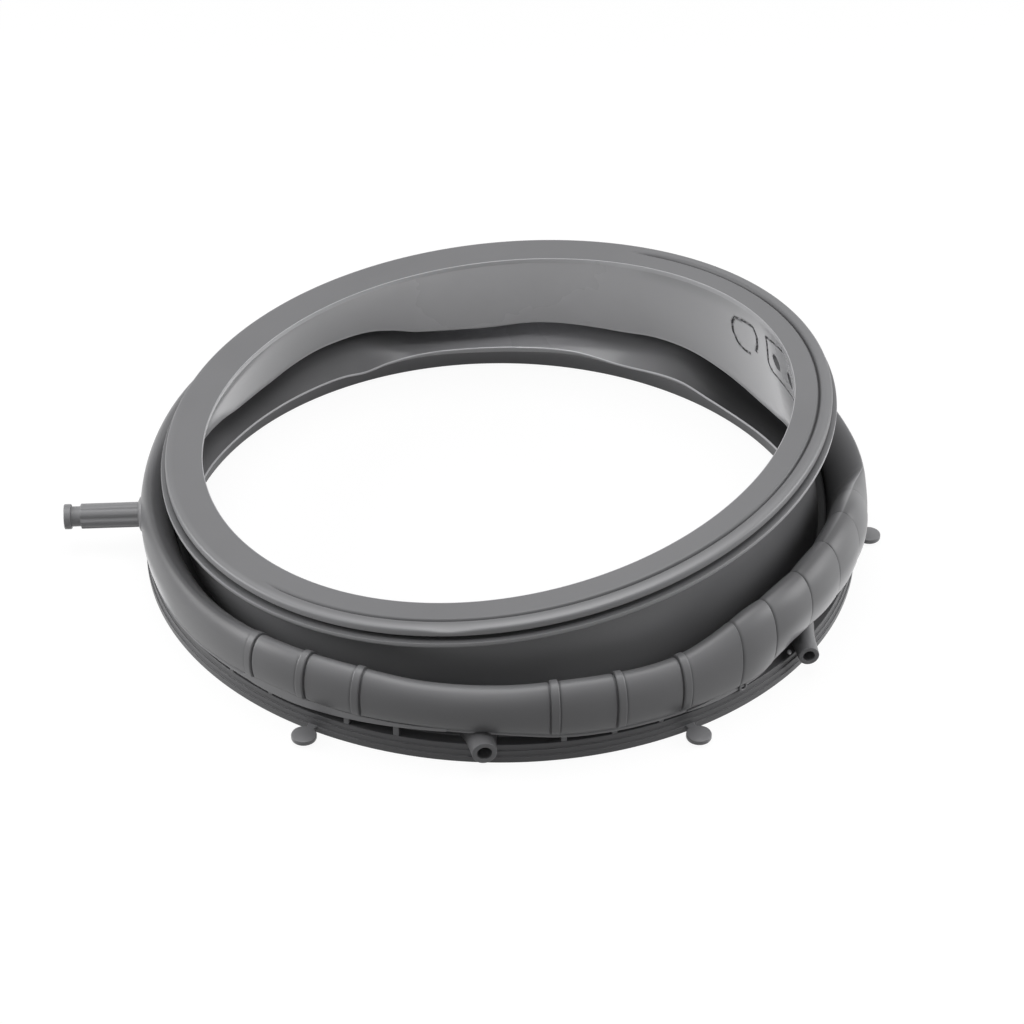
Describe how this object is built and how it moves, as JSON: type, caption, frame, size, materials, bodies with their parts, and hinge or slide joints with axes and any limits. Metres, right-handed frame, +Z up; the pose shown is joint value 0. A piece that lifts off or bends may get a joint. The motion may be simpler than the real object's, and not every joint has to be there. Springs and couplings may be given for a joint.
{
  "type": "washing machine door seal",
  "caption": "Moulded rubber bellows seal for a front-loading washing machine door, with a tilted lip, a banded roll, a clamp flange, drain nozzles and a hose pipe.",
  "frame": {"origin": "centre of the bounding box in plan, at the underside of the tub flange, on which the seal lies", "axes": "+Z up from the tub flange to the door lip, +X along the longest extent, away from the hose pipe, to the side where the lip stands highest"},
  "size_m": [0.494, 0.4418, 0.1146],
  "materials": {
    "rubber": "satin mid-grey rubber"
  },
  "bodies": {
    "root": {"door_seal": "rubber"}
  },
  "joints": []
}
